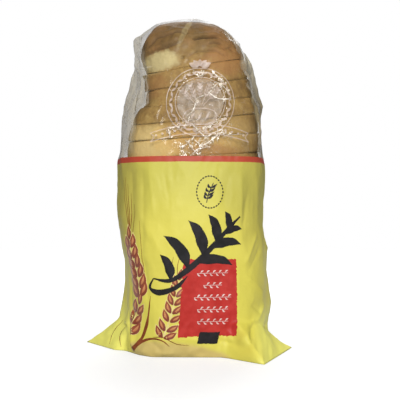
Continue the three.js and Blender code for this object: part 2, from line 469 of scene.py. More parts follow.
def heel_mesh():
    """The rounded end: flat where it was cut, domed above, with tears and blisters in its crust."""
    end = ribbed_cylinder(240, 110)
    # The tears' painted shade, carried at each vertex.
    torn = end.verts.layers.float.new("torn")
    for face in end.faces:
        face.material_index = int(len(face.verts) > 8 and face.calc_center_median().z < 0)
        face.smooth = len(face.verts) <= 8
    for vertex in end.verts:
        angle = math.atan2(vertex.co.y, vertex.co.x)
        level = vertex.co.z + 0.5
        out = bearing(angle)
        share = math.cos(level * math.pi / 2) ** 0.72
        climb = math.sin(level * math.pi / 2) ** 0.95
        bulge = math.sin(min(1, level * 3.2) * math.pi / 2) - 0.8
        radius = loaf_reach(angle, HEEL_CUT) * share + 0.0030 * bulge * max(0, -out.x) * (1 - level)
        radius += (0.0052 * max(0, -out.x) - 0.0035 * max(0, out.x)) * math.sin(level * math.pi) ** 1.5
        x, y = radius * out.x, radius * out.y
        cut = cut_height(SLICES, x, y) + 0.0002 + 0.06 * max(0, -0.018 - x)
        point = Vector((x, y, mix(cut, LOAF_TOP, climb)))
        swell = noise.noise(point * 55) * 0.0016 + noise.noise(point * 140) * 0.0007
        swell += noise.noise(point * 420) * 0.00025
        if point.y < 0:
            tear, vertex[torn] = tear_swell(point)
            swell += tear
        normal = Vector((out.x * share, out.y * share, climb)).normalized()
        vertex.co = point + normal * (swell * smooth(level * 8) - 0.0008) + LOAF_AXIS
    bmesh.ops.remove_doubles(end, verts=end.verts, dist=1e-5)
    return end


loaf_parts = [("heel", heel_mesh())]
for number in range(SLICES):
    shift = Vector((math.sin(number * 2.4) * 0.0008, math.cos(number * 1.7) * 0.0006, 0))
    loaf_parts.append((f"slice_{number + 1:02d}", slice_mesh(number, shift)))
loaf_points, loaf_faces = [], []
for name, mesh in loaf_parts:
    start = len(loaf_points)
    mesh.verts.index_update()
    loaf_points += [vertex.co.copy() for vertex in mesh.verts]
    loaf_faces += [[start + vertex.index for vertex in face.verts] for face in mesh.faces]
    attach(piece(name, mesh, [crust_material, crumb_material]), "root")
loaf_tree = BVHTree.FromPolygons(loaf_points, loaf_faces)

# Film bag
# One tube of thin film, welded flat across the foot, so that its two corners stick out there as ears.
# It lies round the loaf, goes over the loaf's end and is gathered behind it, where it ends in a tail.

FILM_LIFT = 0.0003  # clear of the table
FILM_CLEARANCE = 0.0006  # from the bread
FOOT_TOP = 0.034
BAND_LOW, BAND_TOP = 0.1428, 0.1470  # the red line at the print's upper edge, where the clear film begins
WALL_TOP = 0.212
COLUMNS = 264
FLOOR_SHARES = (0, 0.35, 0.7, 0.9)
FOOT_ROWS, PRINT_ROWS, CLEAR_ROWS = 28, 92, 54
DOME_ROWS, FUNNEL_ROWS, NECK_ROWS, TAIL_ROWS = 52, 10, 16, 34

NECK_PATH = [
    Vector((-0.0011, 0.0340, 0.2405)),
    Vector((-0.0011, 0.0415, 0.2480)),
    Vector((-0.0011, 0.0510, 0.2500)),
    Vector((-0.0011, 0.0585, 0.2435)),
    Vector((-0.0011, 0.0597, 0.2340)),
]
NECK_RADIUS = 0.0044
NECK_PLEATS = 9
FUNNEL_ANGLE = math.radians(17)
TAIL_LENGTH = 0.066
TAIL_PLEATS = 5


def on_path(points, share):
    """A point and a direction on a smooth curve through the points."""
    place = min(share * (len(points) - 1), len(points) - 1.001)
    i = int(place)
    t = place - i
    before, start = points[max(i - 1, 0)], points[i]
    end, after = points[i + 1], points[min(i + 2, len(points) - 1)]
    leave, arrive = (end - before) / 2, (after - start) / 2
    point = start * (2 * t**3 - 3 * t**2 + 1) + leave * (t**3 - 2 * t**2 + t)
    point += end * (3 * t**2 - 2 * t**3) + arrive * (t**3 - t**2)
    course = start * (6 * t**2 - 6 * t) + leave * (3 * t**2 - 4 * t + 1)
    course += end * (6 * t - 6 * t**2) + arrive * (3 * t**2 - 2 * t)
    return point, course.normalized()


solid = bmesh.new()
solid.from_mesh(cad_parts["bag"].data)
bmesh.ops.remove_doubles(solid, verts=solid.verts, dist=1e-5)
solid_tree = BVHTree.FromBMesh(solid)
solid.free()


def reach(origin, direction):
    """Where the bag's solid ends along a ray from inside it."""
    hit = solid_tree.ray_cast(origin, direction)[0]
    return hit if hit else origin


def column_angle(share):
    """Share -1 to 1 runs from the back seam over the left side, the front at 0 and the right side."""
    return math.radians(-90 + 180 * (0.66 * share + 0.34 * share**3))


neck_root = on_path(NECK_PATH, 0)[0]
dome_centre = LOAF_AXIS + Vector((0, 0, WALL_TOP))
to_neck = (neck_root - dome_centre).normalized()
neck_up = to_neck.cross(Vector((1, 0, 0))).normalized()


def neck_turn(angle):
    """The direction round the neck from which the film of one column comes in."""
    outward = bearing(angle)
    flat = outward - to_neck * outward.dot(to_neck)
    return math.atan2(flat.dot(neck_up), flat.x)


def neck_ring(angle, share, along_neck):
    """A point of the gathered neck, which is pleated all round."""
    centre, course = on_path(NECK_PATH, along_neck)
    side = Vector((1, 0, 0))
    up = course.cross(side).normalized()
    turn = neck_turn(angle)
    radius = NECK_RADIUS * (1 + 0.16 * math.cos(NECK_PLEATS * math.pi * 2 * share + 0.6))
    return centre + (side * math.cos(turn) + up * math.sin(turn)) * radius


def tail_ring(angle, down):
    """A point of the tail: two pleated layers that fan out and hang down the bag's back."""
    start = on_path(NECK_PATH, 1)[0]
    turn = neck_turn(angle)
    aside = math.cos(turn)
    half = mix(0.0045, 0.034, down**0.8)
    fan = smooth(down * 4)
    pleat = 0.0030 * math.sin(aside * math.pi * TAIL_PLEATS) * (0.3 + 0.7 * down) * fan
    layer = -math.sin(turn) * mix(NECK_RADIUS, 0.0006, fan) * (1 if down < 1 else 0)
    hem = 0.004 * math.cos(aside * math.pi / 2) * down
    curl = 0.0025 * math.sin(aside * 4 + down * 3) * down
    depth = mix(start.y, 0.0562, down) + layer + pleat + curl
    return Vector((start.x + aside * half, depth, start.z - down * TAIL_LENGTH - hem))


def dome_point(angle, share):
    """A point on the film over the loaf's end, on the way from the wall to the neck."""
    outward = bearing(angle)
    axis = outward.cross(to_neck).normalized()
    whole = outward.angle(to_neck)
    left = mix(whole, FUNNEL_ANGLE, share)
    return reach(dome_centre, Matrix.Rotation(whole - left, 3, axis) @ outward)


def film_rows():
    """For each ring of the film, its kind and its place in that stretch."""
    rows = [("floor", share) for share in FLOOR_SHARES]
    rows += [("wall", mix(0, FOOT_TOP, i / FOOT_ROWS)) for i in range(FOOT_ROWS)]
    rows += [("wall", mix(FOOT_TOP, BAND_TOP, i / PRINT_ROWS)) for i in range(PRINT_ROWS)]
    rows += [("wall", mix(BAND_TOP, WALL_TOP, i / CLEAR_ROWS)) for i in range(CLEAR_ROWS)]
    rows += [("dome", i / DOME_ROWS) for i in range(DOME_ROWS + 1)]
    rows += [("funnel", i / FUNNEL_ROWS) for i in range(1, FUNNEL_ROWS)]
    rows += [("neck", i / NECK_ROWS) for i in range(NECK_ROWS)]
    return rows + [("tail", i / TAIL_ROWS) for i in range(TAIL_ROWS + 1)]


def film_place(kind, at, share):
    """A point of the film, from its ring and its share of the way round."""
    angle = column_angle(share)
    outward = bearing(angle)
    if kind == "floor":
        edge = reach(LOAF_AXIS + Vector((0, 0, FILM_LIFT)), outward)
        return LOAF_AXIS * (1 - at) + edge * at + Vector((0, 0, FILM_LIFT * (1 - at)))
    if kind == "wall":
        return reach(LOAF_AXIS + Vector((0, 0, max(at, FILM_LIFT))), outward)
    if kind == "dome":
        return dome_point(angle, at)
    if kind == "funnel":
        dome, neck = dome_point(angle, 1), neck_ring(angle, share, 0)
        return dome.lerp(neck, at) + to_neck * 0.002 * (at * at - at)
    if kind == "neck":
        return neck_ring(angle, share, at)
    return tail_ring(angle, at)


rows = film_rows()
film = bmesh.new()
bmesh.ops.create_grid(film, x_segments=COLUMNS, y_segments=len(rows) - 1, size=1)
grid = [[None] * (COLUMNS + 1) for _ in rows]
for vertex in film.verts:
    row = round((vertex.co.y + 1) / 2 * (len(rows) - 1))
    column = round((vertex.co.x + 1) / 2 * COLUMNS)
    grid[row][column] = vertex
for (kind, at), ring in zip(rows, grid):
    for column, vertex in enumerate(ring):
        vertex.co = film_place(kind, at, 2 * column / COLUMNS - 1)

# The film's own coordinates in metres: across from the middle of the front, and up from the foot.
across, upward = {}, {}
middle = COLUMNS // 2
for r, ((kind, at), ring) in enumerate(zip(rows, grid)):
    for way, columns in ((1, range(middle, COLUMNS + 1)), (-1, range(middle, -1, -1))):
        run = 0
        for c in columns:
            if c != middle:
                run += (ring[c].co - ring[c - way].co).length
            across[ring[c]] = run * way
    for c, vertex in enumerate(ring):
        if kind == "wall":
            upward[vertex] = at
        elif kind == "floor":
            upward[vertex] = -0.05 * (1 - at)
        else:
            upward[vertex] = upward[grid[r - 1][c]] + (vertex.co - grid[r - 1][c].co).length
            across[vertex] = across[grid[r - 1][c]]

film_map = film.loops.layers.uv.new("film")
for face in film.faces:
    for loop in face.loops:
        loop[film_map].uv = (across[loop.vert], upward[loop.vert])

# Sharp creases of the clear film with painted glints, and its wide soft folds with painted highlights, across
# and up in millimetres.
GLINTS = [
    ((4, 208.3), (10, 207.9), (15, 207.1)),
    ((17, 207.4), (20.6, 204.4), (24, 200.7)),
    ((16.3, 196.3), (20, 199.6), (24, 197.3), (27, 194.2)),
    ((5.6, 189.8), (12, 191.5), (16.3, 195.5)),
    ((12.8, 193.2), (19.7, 188.6), (27.6, 188.1)),
    ((4.9, 187.7), (2.7, 181.8), (-0.5, 175.3), (-1.6, 171)),
    ((-16.2, 167.3), (-7.4, 168.8), (-1.6, 169.4)),
    ((-16.2, 167.3), (-15.1, 162.2)),
    ((1.3, 171), (5.6, 165.6), (10.7, 160.6)),
    ((10.7, 166.5), (17.8, 171.4), (24.2, 172.9)),
    ((12.1, 160.5), (17.5, 164), (23.4, 166.3)),
    ((1.3, 148.4), (5.7, 152), (14.3, 157.7), (21.5, 163.5)),
    ((21.4, 164.2), (25.5, 163.3), (28.8, 162.2)),
    ((-6, 154.9), (-4.5, 148.3)),
    ((2.8, 159.2), (7.1, 155.6), (12.9, 154.8)),
    ((3.6, 148.6), (9.4, 153.6)),
    ((-1.4, 156.8), (3.1, 150.4)),
]
FOLDS = [
    ((36, 216.5), (42.8, 208.5), (46.8, 200.4), (53.4, 194.4)),
    ((25, 239), (27.6, 236.8), (31, 229.1), (35.6, 225.7)),
    ((48.1, 226.8), (42, 221), (36.9, 216.7)),
    ((58.5, 173.7), (55.9, 162.1), (54.4, 150.8)),
    ((-29.6, 237.5), (-34.9, 221.2), (-36.4, 207.4), (-34.3, 198.1), (-33, 187.3), (-37.3, 183.7)),
    ((-39.2, 251.7), (-30.2, 249.5), (-20.5, 247.5), (-16.5, 250.3)),
    ((-55.7, 220.6), (-47.8, 209.2), (-42.1, 198.9), (-50, 190)),
    ((-42.2, 190.8), (-49.2, 181.4), (-48.6, 169.4), (-46.9, 157.7)),
]
# Creases: from and to, across and up in millimetres, then how high they stand and how wide they are.
CREASES = [
    # the printed part: the front's soft edges, the lower right side, and the ears
    (-36, 140, -35, 70, -1.1, 5.0),
    (-47, 141, -46, 92, -0.9, 4.0),
    (-14, 142, -12, 128, -0.3, 2.5),
    (22, 142, 20, 124, -0.3, 2.5),
    (-35, 75, -32, 40, -1.0, 4.0),
    (-31, 138, -26, 100, 0.5, 2.6),
    (-20, 140, -14, 108, -0.5, 3.0),
    (37, 138, 39, 96, 1.0, 3.5),
    (-50, 36, -49, 0, -2.2, 1.3),
    (-46, 30, -45, 2, 1.4, 1.6),
    (44, 120, 40, 92, -0.7, 3.0),
    (56, 92, 40, 66, 0.9, 1.8),
    (60, 80, 43, 61, -0.6, 2.4),
    (66, 42, 40, 60, 1.0, 1.7),
    (68, 36, 44, 20, 0.9, 1.7),
    (60, 30, 47, 38, -0.8, 2.4),
    (54, 24, 43, 7, -1.2, 1.5),
    (47, 22, 38, 12, 0.9, 2.0),
    (36, 67, 35, 28, 0.5, 3.0),
    (20, 13, 46, 8, -0.9, 1.6),
    (-46, 92, -47, 52, 0.6, 3.0),
    (-57, 60, -50, 26, -0.9, 3.0),
    (-63, 34, -50, 6, -1.8, 1.8),
    (-72, 22, -57, 20, 1.0, 2.2),
    (-49, 30, -45, 4, 1.2, 2.2),
    (-30, 12, -18, 4, -0.7, 2.0),
    (-40, 108, -28, 84, 0.5, 3.0),
    (-24, 136, -18, 112, -0.35, 4.0),
    (30, 136, 22, 108, -0.35, 4.0),
    (-6, 52, -14, 26, 0.4, 3.5),
    # the clear part: folds down both sides, the corners over the loaf's end, and sharp ones on the front
    (-46, 236, -42, 176, 0.5, 2.2),
    (-55, 205, -44, 160, -1.4, 2.4),
    (-38, 215, -34, 186, 0.9, 1.6),
    (-52, 186, -47, 150, 0.5, 1.8),
    (40, 226, 46, 200, 2.2, 2.0),
    (46, 206, 42, 190, -1.2, 1.6),
    (40, 195, 56, 182, 1.2, 1.6),
    (52, 196, 50, 152, -1.2, 2.4),
    (60, 190, 57, 150, 1.8, 2.4),
    (28, 238, 42, 222, 0.8, 1.8),
    (3, 193, 30, 187, 0.8, 1.2),
    (-1, 179, 10, 157, 0.9, 1.0),
    (10, 157, 25, 167, 0.9, 1.0),
    (25, 167, 0, 147, -0.8, 1.1),
    (-18, 170, -14, 160, 0.7, 1.0),
    (-16, 160, 4, 163, 0.6, 1.0),
    (14, 205, 8, 186, 0.7, 1.1),
    (-2, 206, 14, 199, -0.6, 1.1),
]
CREASES += [(*a, *b, 0.45, 0.8) for line in GLINTS for a, b in zip(line, line[1:])]
CREASES += [(*a, *b, 0.6, 1.4) for line in FOLDS for a, b in zip(line, line[1:])]
CREASE_REACH = 4  # times a crease's width


def crease_lift(u, v):
    """How far the film stands out of its smooth shape at film coordinates, in metres."""
    u, v = u * 1000, v * 1000
    lift = 0
    for u0, v0, u1, v1, height, width in CREASES:
        far = CREASE_REACH * width
        if u < min(u0, u1) - far or u > max(u0, u1) + far or v < min(v0, v1) - far or v > max(v0, v1) + far:
            continue
        away, t = from_line((u, v), (u0, v0), (u1, v1))
        if away < far:
            lift += 1.6 * height / 1000 * math.exp(-away / width) * smooth(1 - abs(2 * t - 1) ** 3)
    return lift


def crinkle_lift(u, v):
    """Shallow dents of the film all over, long soft folds, and small sharp crinkles in the clear part."""
    dents = noise.noise(Vector((u * 34, v * 26, 1.7))) * 0.9
    dents += noise.noise(Vector((u * 80, v * 55, 4.1))) * 0.35
    folds = 0.5 - abs(noise.noise(Vector((u * 62 + v * 20, v * 24, 8.3))))
    sharp = 0.5 - abs(noise.noise(Vector((u * 150 - v * 60, v * 110 + u * 40, 5.5))))
    broad = noise.noise(Vector((u * 22, v * 15, 9.1)))
    clear = smooth((v - 0.143) / 0.008)
    busy = math.exp(-(((u - 0.008) / 0.022) ** 2) - ((v - 0.182) / 0.032) ** 2) * clear
    low = smooth((0.040 - v) / 0.03)
    sharpness = 0.25 + 0.35 * clear + 0.8 * busy + 0.5 * low
    lift = broad * 2.6 + dents * 1.1 + folds * (1.3 + 0.8 * low) + sharp * sharpness * 1.5
    return (lift - 0.3 - 0.9 * clear) / 1000


film.normal_update()
lifts = {}
for (kind, at), ring in zip(rows, grid):
    if kind not in ("wall", "dome"):
        continue
    for c, vertex in enumerate(ring):
        u, v = across[vertex], upward[vertex]
        calm = smooth(v / 0.004) if kind == "wall" else 1 - smooth(at * 4 - 3)
        seam = smooth(min(c, COLUMNS - c) / 12)
        lifts[vertex] = vertex.normal * ((crease_lift(u, v) + crinkle_lift(u, v)) * calm * seam)
for vertex, lift in lifts.items():
    vertex.co += lift
    bread = loaf_tree.find_nearest(vertex.co)[0]
    short = FILM_CLEARANCE - (vertex.co - bread).dot(vertex.normal)
    if short > 0:
        vertex.co += vertex.normal * short
bmesh.ops.remove_doubles(film, verts=film.verts, dist=2e-5)
film.normal_update()

# How the clear film looks at each point. Close to its sharp creases it is crinkled, and glints are painted
# there. Where it hangs free, beside or above the bread, its two layers and its wrinkles make it milky. The
# table gives a height, and how far to the left and to the right of the front's middle the film lies on the
# bread there.
VEIL_EDGES = [
    (0.147, -0.0450, 0.0544),
    (0.162, -0.0450, 0.0559),
    (0.1737, -0.0450, 0.0565),
    (0.1814, -0.0430, 0.0550),
    (0.188, -0.0352, 0.0535),
    (0.195, -0.0340, 0.0515),
    (0.2004, -0.0346, 0.0468),
    (0.2085, -0.0364, 0.0428),
    (0.2165, -0.0355, 0.0369),
    (0.2257, -0.0335, 0.0356),
    (0.2320, -0.0310, 0.0300),
    (0.239, -0.0330, 0.0250),
    (0.246, -0.0400, 0.0215),
]
GLINTS_LEFT, GLINTS_RIGHT, GLINTS_LOW, GLINTS_HIGH = -0.04, 0.05, 0.14, 0.215
FAR_OFF = 99  # millimetres from any sharp crease
# How near each point lies to a sharp crease, which sets where glints are painted.
crumpled = film.verts.layers.float.new("crumpled")
free_film = film.verts.layers.float.new("free_film")
for vertex in film.verts:
    u, v = vertex.link_loops[0][film_map].uv
    near = FAR_OFF
    if GLINTS_LEFT < u < GLINTS_RIGHT and GLINTS_LOW < v < GLINTS_HIGH:
        spot = (u * 1000, v * 1000)
        near = min(from_line(spot, a, b)[0] for line in GLINTS for a, b in zip(line, line[1:]))
    vertex[crumpled] = math.exp(-((near / 2.6) ** 2))
    gap = loaf_tree.find_nearest(vertex.co)[3]
    out = 1 if vertex.co.x > LOAF_AXIS.x else -1
    side = Vector((out * 0.2, LOAF_AXIS.y, vertex.co.z))
    bread = loaf_tree.ray_cast(side, Vector((-out, 0, 0)))[0]
    beside = out * (vertex.co.x - bread.x) if bread else 0.01
    milky = smooth((beside + 0.002) / 0.004) * smooth((gap - 0.0003) / 0.0025)
    left, right = along(VEIL_EDGES, v)
    veil_back = 0.022 if out > 0 and v < 0.215 else 0.012
    veil = smooth((left - u) / 0.006 + 0.5) + smooth((u - right) / 0.003 + 0.5)
    veil *= smooth((v - BAND_TOP) / 0.006) * smooth((0.260 - v) / 0.012)
    veil *= smooth((veil_back - vertex.co.y) / 0.016)
    vertex[free_film] = max(milky, 0.8 * smooth((gap - 0.006) / 0.008), 0.72 * veil)
for face in film.faces:
    face.smooth = True
    face.material_index = int(min(loop[film_map].uv.y for loop in face.loops) > BAND_TOP - 1e-5)


def printed_film():
    material, shader, place = new_material("printed film", "film")
    side, up, _ = axes_of(place)
    wave = noise_map(place, 60, 3)
    yellow = wave.blend((0.71, 0.63, 0.090), (0.78, 0.695, 0.110))
    # Painted shade: the yellow is darker from 85 mm up, towards both sides (less so on the right), and in an
    # oval right of the middle.
    yellow = up.step(0.085, 0.138).blend(yellow, wave.blend((0.57, 0.52, 0.082), (0.64, 0.585, 0.10)))
    painted_side_shade = abs(side).step(0.028, 0.050) * abs(side).step(0.078, 0.060) * up.step(0.050, 0.100)
    yellow = (painted_side_shade * (1 - side.step(-0.01, 0.01) * 0.45)).blend(yellow, (0.50, 0.435, 0.078))
    shade = oval(side, up, (0.035, 0.124), (0.015, 0.024)).step(1.4, 0.3)
    yellow = (shade * 0.5).blend(yellow, (0.48, 0.43, 0.075))
    # Painted light: lighter yellow on the ears, where the film stands alone with no bread behind it.
    ears = abs(side).step(0.046, 0.066) * up.step(0.042, 0.022)
    yellow = (ears * 0.8).blend(yellow, (0.97, 0.93, 0.20))  # the film alone, with no bread behind it
    # A tan field low on the front, under a curved edge that is highest left of the middle.
    low_tan = wave.blend((0.58, 0.41, 0.13), (0.66, 0.50, 0.19))
    low_tan_edge = 0.0125 + (side + 0.022) * (side + 0.022) * -4.2 + (wave - 0.5) * 0.003
    low_tan_field = (up - low_tan_edge).step(0.002, -0.003) * side.step(-0.052, -0.044)
    red = wave.blend((0.42, 0.048, 0.022), (0.53, 0.075, 0.036))
    in_band = (up + (wave - 0.5) * 0.0006).step(BAND_LOW - 0.0001, BAND_LOW + 0.0001)
    tone = in_band.blend((low_tan_field * 0.85).blend(yellow, low_tan), red)
    crinkle = noise_map(place, 420, 4, Roughness=0.6)
    connect(shader, Base_Color=tone, Roughness=0.46 + crinkle * 0.12, Normal=bumps(crinkle, 0.12))
    connect(shader, Specular_IOR_Level=0.3)
    return material


def see_through(material, shader, cover):
    """Lets what is behind show through wherever cover is below 1."""
    clear = cover.node("ShaderNodeBsdfTransparent")
    solid_part = Wire(cover.tree, shader.outputs[0])
    mixed = cover.node("ShaderNodeMixShader", None, {0: cover, 1: clear, 2: solid_part})
    cover.tree.links.new(mixed.socket, material.node_tree.nodes["Material Output"].inputs["Surface"])


def clear_film():
    material, shader, place = new_material("clear film", "film")
    side, up, _ = axes_of(place)
    free, near_glint_lines = carried(place, "free_film"), carried(place, "crumpled")
    cloud = noise_map(place, 55, 4, Distortion=0.6)
    ridges = place.node("ShaderNodeTexNoise", {"noise_type": "RIDGED_MULTIFRACTAL"},
                        {"Vector": place, "Scale": 90, "Detail": 3})
    over_end = up.step(0.205, 0.228) * up.step(0.290, 0.270)
    # Painted shade: the free film covers more on its right edge.
    free_cover = 0.50 + side.step(0.046, 0.056) * side.step(0.100, 0.080) * 0.42
    haze = (0.06 + cloud * 0.06 + ridges.step(0.9, 1.6) * 0.04) * (1 - over_end * 0.45)
    haze = haze + free * (free_cover + (cloud - 0.5) * 0.25)
    # Painted shade and light: the free film's tone is darker on the right, and lighter higher up over the
    # loaf's end.
    loose = side.step(-0.010, 0.010).blend((0.52, 0.445, 0.29), (0.38, 0.30, 0.16))
    loose = (up.step(0.185, 0.225) * 0.8).blend(loose, (0.74, 0.67, 0.50))
    tone = free.blend((0.36, 0.29, 0.15), loose)
    back = axes_of(place.node("ShaderNodeTexCoord", out="Object"))[1]
    # Lighter on the gathered neck and tail: partly the whitish look of gathered film, partly painted light.
    tone = back.step(0.0490, 0.0530).blend(tone, (0.66, 0.64, 0.58))  # the gathered neck and tail

    # Painted glints: white streaks near the sharp creases, along the edges of bent cells and broken into
    # short bits.
    busy = oval(side, up, (0.008, 0.178), (0.026, 0.034)).step(1.5, 0.3)
    core = near_glint_lines.step(0.15, 0.80)
    bent = noise_map(place, 90, 4, out=1)
    warped = place.node("ShaderNodeVectorMath", {"operation": "MULTIPLY_ADD"},
                        {0: bent, 1: (0.016, 0.016, 0), 2: place})
    streaks = cells(warped, 220, "DISTANCE_TO_EDGE").step(0.14, 0.02)
    broken = noise_map(warped, 420, 3).step(0.44, 0.58)
    white = (streaks * broken * (core * 0.75 + busy * 0.25) + core * 0.10).lowest(0.92)
    haze = haze + white * (1 - haze)
    tone = (white * 1.2).lowest(1.0).blend(tone, (0.98, 0.87, 0.71))
    crinkle = cells(place, 150) * (0.18 + busy * 0.82) + cells(place, 420) * 0.4 * busy + cloud * 0.4
    connect(shader, Base_Color=tone, Roughness=0.10 + cloud * 0.08 + over_end * 0.14, IOR=1.9)
    connect(shader, Normal=bumps(crinkle, 1.0, 0.0022))
    see_through(material, shader, haze)
    return material


# The film as triangles, in its own coordinates and in space, so that the inks can be laid on it.
PRINT_LIMIT = 0.245  # no ink lies higher on the film
FLOOR_LIMIT = 0.0004  # below this the film lies on the table
film.verts.index_update()
film.faces.ensure_lookup_table()
film_corners, film_flats, film_faces = [], [], []
for face in film.faces:
    low = min(loop[film_map].uv.y for loop in face.loops)
    if low > PRINT_LIMIT or face.calc_center_median().z < FLOOR_LIMIT:
        continue
    loops = list(face.loops)
    for trio in ((loops[0], loops[1], loops[2]), (loops[0], loops[2], loops[3]))[: len(loops) - 2]:
        first = len(film_flats)
        film_flats += [Vector((*loop[film_map].uv, 0)) for loop in trio]
        film_corners += [(loop.vert.co.copy(), loop.vert.normal.copy()) for loop in trio]
        film_faces.append((first, first + 1, first + 2))
film_tree = BVHTree.FromPolygons(film_flats, film_faces)

bag_film = piece("bag_film", film, [printed_film(), clear_film()])
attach(bag_film, "root")
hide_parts("bag")

# Print
# Inks on the film, laid down one over another: ears of wheat, a red panel with a tag and white lines, a brush
# sprig, a small ring, and a pale seal on the clear part. Each is a skin that follows the film's creases.

INK_LIFT = 0.00008
INK_LAYER = 0.00003


def on_film(u, v, layer):
    """The place of a print's point on the film, from its film coordinates in millimetres."""
    spot, _, index, _ = film_tree.find_nearest(Vector((u / 1000, v / 1000, 0)))
    trio = film_faces[index]
    flats = [film_flats[i] for i in trio]
    raised = [film_corners[i][0] + film_corners[i][1] * (INK_LIFT + INK_LAYER * layer) for i in trio]
    return barycentric_transform(spot, *flats, *raised)


def new_ink():
    ink = bmesh.new()
    ink.loops.layers.uv.new("stroke")
    return ink


def across_from(course):
    """The direction on the flat film to the left of a course."""
    return Vector((-course.y, course.x, 0))


def stroke(ink, points, widths, layer=0, rough=0.0, cell=0.9):
    """A line of the pen or the brush through the points, as wide as the widths say along it, in mm."""
    path = [Vector((*point[:2], 0)) for point in points]
    length = sum((b - a).length for a, b in zip(path, path[1:]))
    steps = max(4, math.ceil(length / cell))
    lanes = max(1, math.ceil(max(widths) / cell))
    made = bmesh.ops.create_grid(ink, x_segments=steps, y_segments=lanes, size=1, calc_uvs=True)["verts"]
    for vertex in made:
        share, lane = (vertex.co.x + 1) / 2, vertex.co.y
        i = min(int(share * (len(widths) - 1)), len(widths) - 2)
        t = share * (len(widths) - 1) - i
        width = mix(widths[i], widths[i + 1], smooth(t) if len(widths) > 2 else t)
        centre, course = on_path(path, share)
        if rough:
            edge = Vector((centre.x * 0.9, centre.y * 0.9, lane * 3))
            width += (noise.noise(edge) + 0.5 * noise.noise(edge * 2.7)) * rough
        place = centre + across_from(course) * (lane * width / 2)
        vertex.co = on_film(place.x, place.y, layer)


def patch(ink, corners, layer=0, rough=0.0, cell=0.9, disc=False):
    """A field of ink with four corners, from the lower left one round to the right, or the disc inside it."""
    low_left, low_right, high_right, high_left = (Vector((u, v, 0)) for u, v in corners)
    columns = math.ceil(max((low_right - low_left).length, (high_right - high_left).length) / cell)
    lines = math.ceil(max((high_left - low_left).length, (high_right - low_right).length) / cell)
    made = bmesh.ops.create_grid(ink, x_segments=columns, y_segments=lines, size=1, calc_uvs=True)["verts"]
    for vertex in made:
        if disc:
            x, y = vertex.co.x, vertex.co.y
            vertex.co = (x * math.sqrt(1 - y * y / 2), y * math.sqrt(1 - x * x / 2), 0)
        s, t = (vertex.co.x + 1) / 2, (vertex.co.y + 1) / 2
        edge = max(abs(vertex.co.x), abs(vertex.co.y)) ** 12
        spot = low_left.lerp(low_right, s).lerp(high_left.lerp(high_right, s), t)
        drift = Vector((noise.noise(spot * 0.55), noise.noise(spot * 0.5 + Vector((9, 4, 2))), 0))
        drift += 0.5 * Vector((noise.noise(spot * 1.7), noise.noise(spot * 1.9 + Vector((3, 8, 5))), 0))
        spot += drift * edge * rough
        vertex.co = on_film(spot.x, spot.y, layer)


def ink_piece(name, ink, material):
    bmesh.ops.remove_doubles(ink, verts=ink.verts, dist=1e-6)
    for face in ink.faces:
        face.smooth = True
    made = piece(name, ink, [material])
    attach(made, "root")


def flat_ink(name, dark, light, roughness=0.4):
    """One ink, with the uneven cover that printing on film gives it."""
    material, shader, place = new_material(name)
    tone = noise_map(place, 160, 4).step(0.3, 0.7).blend(dark, light)
    connect(shader, Base_Color=tone, Roughness=roughness, Normal=bumps(noise_map(place, 900), 0.08))
    connect(shader, Specular_IOR_Level=0.15)
    return material


def wheat_ink(name, dark, light):
    """Ink that runs from dark at a grain's foot to light at its tip."""
    material, shader, place = new_material(name, "stroke")
    length, lane, _ = axes_of(place)
    cover = noise_map(place.node("ShaderNodeTexCoord", out="Object"), 260)
    shade = (length * 0.7 + lane * 0.35 + (cover - 0.5) * 0.5).lowest(1.0).highest(0.0)
    connect(shader, Base_Color=shade.blend(dark, light), Roughness=0.42)
    return material


# Red panel with brushed edges, and the dark tag that hangs over its lower edge.
panel_ink = new_ink()
patch(panel_ink, [(-8.9, 15.6), (34.8, 16.4), (34.4, 71.9), (-4.6, 72.4)], layer=2, rough=0.9)
ink_piece("print_panel", panel_ink, flat_ink("red ink", (0.47, 0.028, 0.022), (0.56, 0.044, 0.036)))
black = flat_ink("black ink", (0.010, 0.0095, 0.010), (0.020, 0.018, 0.020), roughness=0.5)
tag_ink = new_ink()
patch(tag_ink, [(4.9, 10.6), (19.5, 10.4), (21.9, 19.1), (7.0, 19.2)], layer=4, rough=0.35)
ink_piece("print_tag", tag_ink, black)

# White lines on the panel: five rows of a thin garland, its leaves alike and turned up and down by turns.
GARLAND_MIDDLE, GARLAND_TOP, GARLAND_ROW, LEAF_STEP = 16.5, 62.0, 8.8, 2.3
garland_ink = new_ink()
for row, pairs in enumerate((5, 3, 6, 5, 5)):
    v = GARLAND_TOP - row * GARLAND_ROW
    left = GARLAND_MIDDLE - pairs * LEAF_STEP
    stroke(garland_ink, [(left, v), (2 * GARLAND_MIDDLE - left, v)], [0.3, 0.3], 4, cell=0.6)
    for i in range(2 * pairs):
        u = left + LEAF_STEP * (i + 0.5)
        way = 1 if i % 2 else -1
        leaf = [(u - 1.1, v), (u, v + way * 1.5), (u + 1.3, v + way * 1.9)]
        stroke(garland_ink, leaf, [0.1, 1.1, 0.1], 4, cell=0.5)
ink_piece("print_garland", garland_ink, flat_ink("white ink", (0.66, 0.44, 0.40), (0.84, 0.70, 0.66)))

# Brush drawing in black: a sprig that rises to the right, with broad leaves on both sides of its stem.
SPRIG = [(-27, 58), (-14, 57), (0, 66), (14, 79), (26, 92), (37, 103)]
